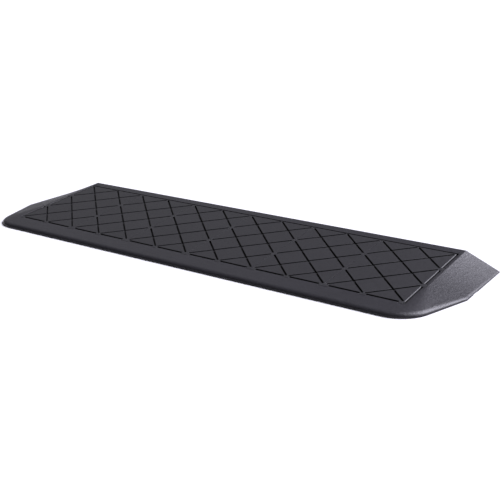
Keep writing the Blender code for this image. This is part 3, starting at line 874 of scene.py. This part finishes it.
def made_by(tree, name, sizes, material, place):
    """A plain mesh piece from a tree, at its place on the ramp."""
    piece = bpy.data.objects.new(name, bpy.data.meshes.new(name + "_seed"))
    bpy.context.scene.collection.objects.link(piece)
    modifier = piece.modifiers.new("maker", "NODES")
    modifier.node_group = tree
    for socket in tree.interface.items_tree:
        if socket.in_out == "INPUT":
            modifier[socket.identifier] = material if socket.name == "Material" else sizes[socket.name]
    bpy.context.view_layer.update()
    mesh = bpy.data.meshes.new_from_object(piece.evaluated_get(bpy.context.evaluated_depsgraph_get()))
    piece.modifiers.clear()
    piece.data = mesh
    mesh.name = name
    mesh.transform(place)
    return piece


def metal_skin():
    """Surface of a small turned part: fine tool marks, a dull film in patches, bright arrises."""
    group, given, made, where, maths, noise, blend, arrises = new_skin(
        "metal_skin", ("Tone", "Film Tone", "Bright Tone"),
        ("Film", "Mark Scale", "Mark Depth", "Arris", "Roughness"),
    )
    patches = noise(260.0, 3.0, 0.6)
    marks = noise(given.outputs["Mark Scale"], 2.0, 0.5)
    film = maths("MULTIPLY", maths("SUBTRACT", patches, 0.35), given.outputs["Film"], clamp=True)
    bright = maths("MULTIPLY", arrises(given.outputs["Arris"], 5.0), patches, clamp=True)
    colour = blend(film, given.outputs["Tone"], given.outputs["Film Tone"])
    group.links.new(blend(bright, colour, given.outputs["Bright Tone"]), made.inputs["Color"])
    rough = maths("ADD", given.outputs["Roughness"], maths("MULTIPLY", film, 0.35))
    rough = maths("ADD", rough, maths("MULTIPLY", maths("SUBTRACT", marks, 0.5), 0.18), clamp=True)
    group.links.new(rough, made.inputs["Roughness"])
    group.links.new(maths("MULTIPLY", marks, given.outputs["Mark Depth"]), made.inputs["Height"])
    return group


METAL_SKIN = metal_skin()


def insert_tree():
    tree, given = new_tree("threaded_insert", ("Bore", "Radius", "Length", "Chamfer"))
    knurls = step_node(tree, "GeometryNodeCurveStar", {
        "Points": KNURLS, "Inner Radius": 0.93, "Outer Radius": 1.0})
    length, radius, chamfer = given["Length"], given["Radius"], given["Chamfer"]
    slim = sum_of(tree, radius, (chamfer, -1.0))
    body = lathe(tree, [
        (0.0, slim), (chamfer, radius), (sum_of(tree, length, (chamfer, -1.0)), radius), (length, slim),
    ], knurls.outputs["Curve"])
    tool = lathe(tree, [
        (sum_of(tree, (chamfer, -1.0)), sum_of(tree, given["Bore"], (chamfer, 2.0))),
        (chamfer, given["Bore"]), (sum_of(tree, length, chamfer), given["Bore"]),
    ], ring(tree, 32))
    return finish_tree(tree, given, bored(tree, body, tool))


def screw_place(seat, height):
    """The frame of a fixing at its seat, at a height along the screw's axis."""
    return TREAD_FRAME @ Matrix.Translation((seat.x, seat.y, height))


INSERT_BRASS = skinned("turned_brass", METAL_SKIN, {
    "Tone": (0.70, 0.50, 0.22), "Film Tone": (0.36, 0.23, 0.10), "Bright Tone": (0.86, 0.68, 0.38),
    "Film": 1.2, "Mark Scale": 2600.0, "Mark Depth": 0.00003, "Arris": 0.0002, "Roughness": 0.26,
}, metallic=1.0)
INSERT_TREE = insert_tree()
for number, seat in enumerate(screw_seats(), 1):
    insert = made_by(INSERT_TREE, f"knurled_insert_{number}", {
        "Bore": INSERT_BORE, "Radius": INSERT_RADIUS, "Length": INSERT_LENGTH,
        "Chamfer": INSERT_CHAMFER,
    }, INSERT_BRASS, screw_place(seat, FLOOR_BOTTOM_Z + FIT_GAP))
    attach(insert, "root")
    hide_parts(f"tile_insert_{number}")

# ---- Washers ----------------------------------------------------------------------------------------
# A wide steel washer under each screw head bears on the tray floor and clamps the base to the tile.
# Each is punched from strip, so one arris is rounded and the other is sharp.

WASHER_RADIUS = 0.0090
WASHER_THICKNESS = 0.0008
WASHER_ARRIS = 0.0003


def washer_tree():
    tree, given = new_tree("punched_washer", ("Bore", "Radius", "Thickness", "Arris"))
    radius, thickness, arris = given["Radius"], given["Thickness"], given["Arris"]
    body = lathe(tree, [
        (0.0, sum_of(tree, radius, (arris, -1.0))),
        (sum_of(tree, (arris, 0.134)), sum_of(tree, radius, (arris, -0.5))),
        (sum_of(tree, (arris, 0.5)), sum_of(tree, radius, (arris, -0.134))),
        (arris, radius), (thickness, radius),
    ], ring(tree, 56))
    tool = lathe(tree, [
        (sum_of(tree, (thickness, -1.0)), given["Bore"]), (sum_of(tree, (thickness, 2.0)), given["Bore"]),
    ], ring(tree, 40))
    return finish_tree(tree, given, bored(tree, body, tool))


SCREW_STEEL = skinned("bright_steel", METAL_SKIN, {
    "Tone": (0.50, 0.50, 0.52), "Film Tone": (0.26, 0.26, 0.28), "Bright Tone": (0.72, 0.72, 0.74),
    "Film": 1.0, "Mark Scale": 2200.0, "Mark Depth": 0.00004, "Arris": 0.0002, "Roughness": 0.32,
}, metallic=1.0)
WASHER_TREE = washer_tree()
for number, seat in enumerate(screw_seats(), 1):
    washer_bottom = FLOOR_BOTTOM_Z - FIT_GAP - WASHER_THICKNESS
    washer = made_by(WASHER_TREE, f"punched_washer_{number}", {
        "Bore": INSERT_BORE, "Radius": WASHER_RADIUS, "Thickness": WASHER_THICKNESS,
        "Arris": WASHER_ARRIS,
    }, SCREW_STEEL, screw_place(seat, washer_bottom))
    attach(washer, "root")
    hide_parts(f"tile_washer_{number}")

# ---- Tile screws ------------------------------------------------------------------------------------
# Low-head socket screws come up from below, through the washer and the tray floor, into the insert.
# They are cold headed from steel wire, and the thread is rolled; its turns stand as rings here.

SCREW_RADIUS = 0.0020
SCREW_LENGTH = 0.0050
SCREW_HEAD_RADIUS = 0.0040
SCREW_HEAD_HEIGHT = 0.0018
SOCKET_RADIUS = 0.0014
SOCKET_DEPTH = 0.0010
THREAD_TURNS = 6
THREAD_DEPTH = 0.00022


def screw_tree():
    """Head down: the head's bottom is at height 0."""
    tree, given = new_tree("socket_screw", (
        "Head Radius", "Head Height", "Shank Radius", "Shank Length", "Socket Radius", "Socket Depth",
        "Thread Depth",
    ))
    head, height, shank = given["Head Radius"], given["Head Height"], given["Shank Radius"]
    length, thread = given["Shank Length"], given["Thread Depth"]
    root = sum_of(tree, shank, (thread, -1.0))
    stations = [
        (0.0, sum_of(tree, (head, 0.90))), (sum_of(tree, (height, 0.07)), sum_of(tree, (head, 0.96))),
        (sum_of(tree, (height, 0.22)), head), (sum_of(tree, (height, 0.99)), head), (height, shank),
    ]
    for turn in range(THREAD_TURNS):
        for part, radius in ((0.5, root), (1.0, shank)):
            share = 0.08 + 0.84 * (turn + part) / THREAD_TURNS
            stations.append((sum_of(tree, height, (length, share)), radius))
    stations.append((sum_of(tree, height, length), sum_of(tree, (shank, 0.72))))
    body = lathe(tree, stations, ring(tree, 40))
    depth = given["Socket Depth"]
    tool = lathe(tree, [
        (sum_of(tree, (depth, -1.0)), given["Socket Radius"]), (depth, given["Socket Radius"]),
    ], ring(tree, 6))
    return finish_tree(tree, given, bored(tree, body, tool))


SCREW_TREE = screw_tree()
for number, seat in enumerate(screw_seats(), 1):
    head_bottom = FLOOR_BOTTOM_Z - 2 * FIT_GAP - WASHER_THICKNESS - SCREW_HEAD_HEIGHT
    screw = made_by(SCREW_TREE, f"socket_screw_{number}", {
        "Head Radius": SCREW_HEAD_RADIUS, "Head Height": SCREW_HEAD_HEIGHT, "Shank Radius": SCREW_RADIUS,
        "Shank Length": SCREW_LENGTH, "Socket Radius": SOCKET_RADIUS, "Socket Depth": SOCKET_DEPTH,
        "Thread Depth": THREAD_DEPTH,
    }, SCREW_STEEL, screw_place(seat, head_bottom))
    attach(screw, "root")
    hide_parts(f"tile_screw_{number}")

# ---- Grip pads --------------------------------------------------------------------------------------
# Ten strips of soft, tacky rubber are glued into shallow recesses under the base, behind the lip and
# along the back. Each is cut from ribbed sheet, and the ramp stands on their ribs.

PAD_CORNER = 0.0015
RIB_PITCH = 0.0040
RIB_SLOT_WIDTH = 0.0014
RIB_SLOT_DEPTH = 0.0004


def pad_tree():
    tree, given = new_tree("ribbed_pad", (
        "Length", "Width", "Height", "Corner", "Rib Pitch", "Slot Width", "Slot Depth"))
    plan = step_node(tree, "GeometryNodeCurvePrimitiveQuadrilateral", {
        "Width": given["Length"], "Height": given["Width"]})
    rounded = step_node(tree, "GeometryNodeFilletCurve", {
        "Curve": plan.outputs[0], "Count": 4, "Radius": given["Corner"]}, mode="POLY")
    body = lathe(tree, [(0.0, 1.0), (given["Height"], 1.0)], rounded.outputs[0])
    rib_terms = {0: given["Length"], 1: given["Rib Pitch"]}
    count = step_node(tree, "ShaderNodeMath", rib_terms, operation="DIVIDE")
    start = sum_of(tree, (given["Length"], -0.5), (given["Rib Pitch"], 0.5))
    first = step_node(tree, "ShaderNodeCombineXYZ", {"X": start})
    pitch = step_node(tree, "ShaderNodeCombineXYZ", {"X": given["Rib Pitch"]})
    row = step_node(tree, "GeometryNodeMeshLine", {
        "Count": count.outputs[0], "Start Location": first.outputs[0], "Offset": pitch.outputs[0]})
    size = step_node(tree, "ShaderNodeCombineXYZ", {
        "X": given["Slot Width"], "Y": sum_of(tree, (given["Width"], 2.0)),
        "Z": sum_of(tree, (given["Slot Depth"], 2.0))})
    slot = step_node(tree, "GeometryNodeMeshCube", {"Size": size.outputs[0]})
    slots = step_node(tree, "GeometryNodeInstanceOnPoints", {
        "Points": row.outputs[0], "Instance": slot.outputs["Mesh"]})
    tool = step_node(tree, "GeometryNodeRealizeInstances", {0: slots.outputs[0]})
    return finish_tree(tree, given, bored(tree, body, tool.outputs[0]))


# The darkest tone below is painted shade for grooves, recesses and edges near the floor
PAD_RUBBER = skinned("tacky_pad_rubber", RUBBER_SKIN, {
    "Tone": (0.010, 0.010, 0.011), "Pale Tone": (0.022, 0.022, 0.023),
    "Painted Shade Tone": (0.0020, 0.0020, 0.0022), "Mottle": 0.7, "Grain Scale": 1400.0,
    "Grain Depth": 0.00012, "Rub And Highlight": 0.4, "Arris": 0.0005, "Roughness": 0.72,
})
PAD_TREE = pad_tree()
for name in PAD_NAMES:
    low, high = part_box(name)
    pad = made_by(PAD_TREE, name.replace("grip_pad", "ribbed_pad"), {
        "Length": high.x - low.x, "Width": high.y - low.y, "Height": high.z - low.z,
        "Corner": PAD_CORNER, "Rib Pitch": RIB_PITCH, "Slot Width": RIB_SLOT_WIDTH,
        "Slot Depth": RIB_SLOT_DEPTH,
    }, PAD_RUBBER, Matrix.Translation(((low.x + high.x) / 2, (low.y + high.y) / 2, low.z)))
    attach(pad, "root")
    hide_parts(name)

# ---- Floor, lights and camera -----------------------------------------------------------------------
# A pale studio floor, large soft lights, and a camera that looks down the length of the ramp.


def stage_material():
    material = bpy.data.materials.new("studio_floor")
    material.use_nodes = True
    shader = material.node_tree.nodes["Principled BSDF"]
    shader.inputs["Base Color"].default_value = (0.97, 0.97, 0.97, 1)
    shader.inputs["Roughness"].default_value = 0.9
    shader.inputs["Specular IOR Level"].default_value = 0.1
    return material


FLOOR_SIZE = 20.0
FLOOR_Z = -0.0002           # just below the pads, so that the two never share a plane
floor_bm = bmesh.new()
bmesh.ops.create_grid(floor_bm, x_segments=1, y_segments=1, size=FLOOR_SIZE)
floor = new_object("floor", floor_bm, Matrix.Translation((0, 0, FLOOR_Z)))
floor.data.materials.append(stage_material())
floor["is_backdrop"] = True


def soft_sun(name, direction, width, strength, colour):
    """A broad distant softbox: where it stands as seen from the ramp, and how wide it looks in degrees."""
    data = bpy.data.lights.new(name, "SUN")
    data.angle = math.radians(width)
    data.energy = strength
    data.color = colour
    lamp = bpy.data.objects.new(name, data)
    lamp.rotation_euler = Vector(direction).to_track_quat("Z", "Y").to_euler()
    bpy.context.scene.collection.objects.link(lamp)


soft_sun("key_softbox", (0.40, 0.60, 0.69), 40, 5.3, (0.975, 0.96, 1.09))
soft_sun("left_softbox", (-0.74, 0.62, 0.26), 40, 0.11, (1, 1, 1))

world = bpy.data.worlds.new("studio")
world.use_nodes = True
backdrop = world.node_tree.nodes["Background"]
backdrop.inputs["Color"].default_value = (1, 1, 1, 1)
# The backdrop looks white itself but fills the shadows only softly
seen = world.node_tree.nodes.new("ShaderNodeLightPath")
fill = world.node_tree.nodes.new("ShaderNodeMapRange")
fill.inputs["To Min"].default_value = 0.08
fill.inputs["To Max"].default_value = 1.0
world.node_tree.links.new(seen.outputs["Is Camera Ray"], fill.inputs["Value"])
world.node_tree.links.new(fill.outputs["Result"], backdrop.inputs["Strength"])
bpy.context.scene.world = world
bpy.context.scene.view_settings.view_transform = "Standard"

camera_data = bpy.data.cameras.new("camera")
camera_data.lens = 63.4
camera_data.sensor_width = 36.0
camera = bpy.data.objects.new("camera", camera_data)
bpy.context.scene.collection.objects.link(camera)
camera.location = (0.9887, -1.3375, 0.5593)
ahead = Vector((-0.5316, 0.7821, -0.3252)).normalized()
across = Vector((0.8285, 0.5600, -0.0074))
across = (across - ahead * across.dot(ahead)).normalized()
upright = across.cross(ahead)
turn = Matrix((across, upright, -ahead)).transposed()
camera.rotation_euler = turn.to_euler()
bpy.context.scene.camera = camera

low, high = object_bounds()
